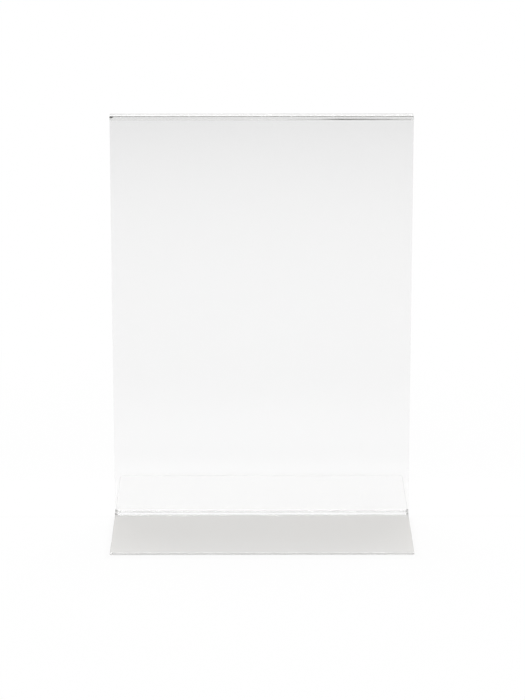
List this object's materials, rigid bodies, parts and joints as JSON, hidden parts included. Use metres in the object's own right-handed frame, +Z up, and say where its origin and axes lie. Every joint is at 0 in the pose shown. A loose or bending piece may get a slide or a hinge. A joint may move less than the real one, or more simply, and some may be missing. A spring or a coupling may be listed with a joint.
{
  "type": "menu holder",
  "caption": "Clear upright table menu holder: bent sheets back to back on flat front and rear feet, with a narrow pocket between the walls that takes a card from below or from either side.",
  "frame": {"origin": "centre of the overall box at table level, under the middle of the pocket", "axes": "+X across the menu's width, +Y from the front foot to the rear foot, +Z up"},
  "size_m": [0.154, 0.127, 0.2136],
  "materials": {
    "clear_acrylic": "polished, clear"
  },
  "bodies": {
    "root": {"front_sheet": "clear_acrylic", "rear_sheet": "clear_acrylic", "top_strip": "clear_acrylic"}
  },
  "joints": []
}
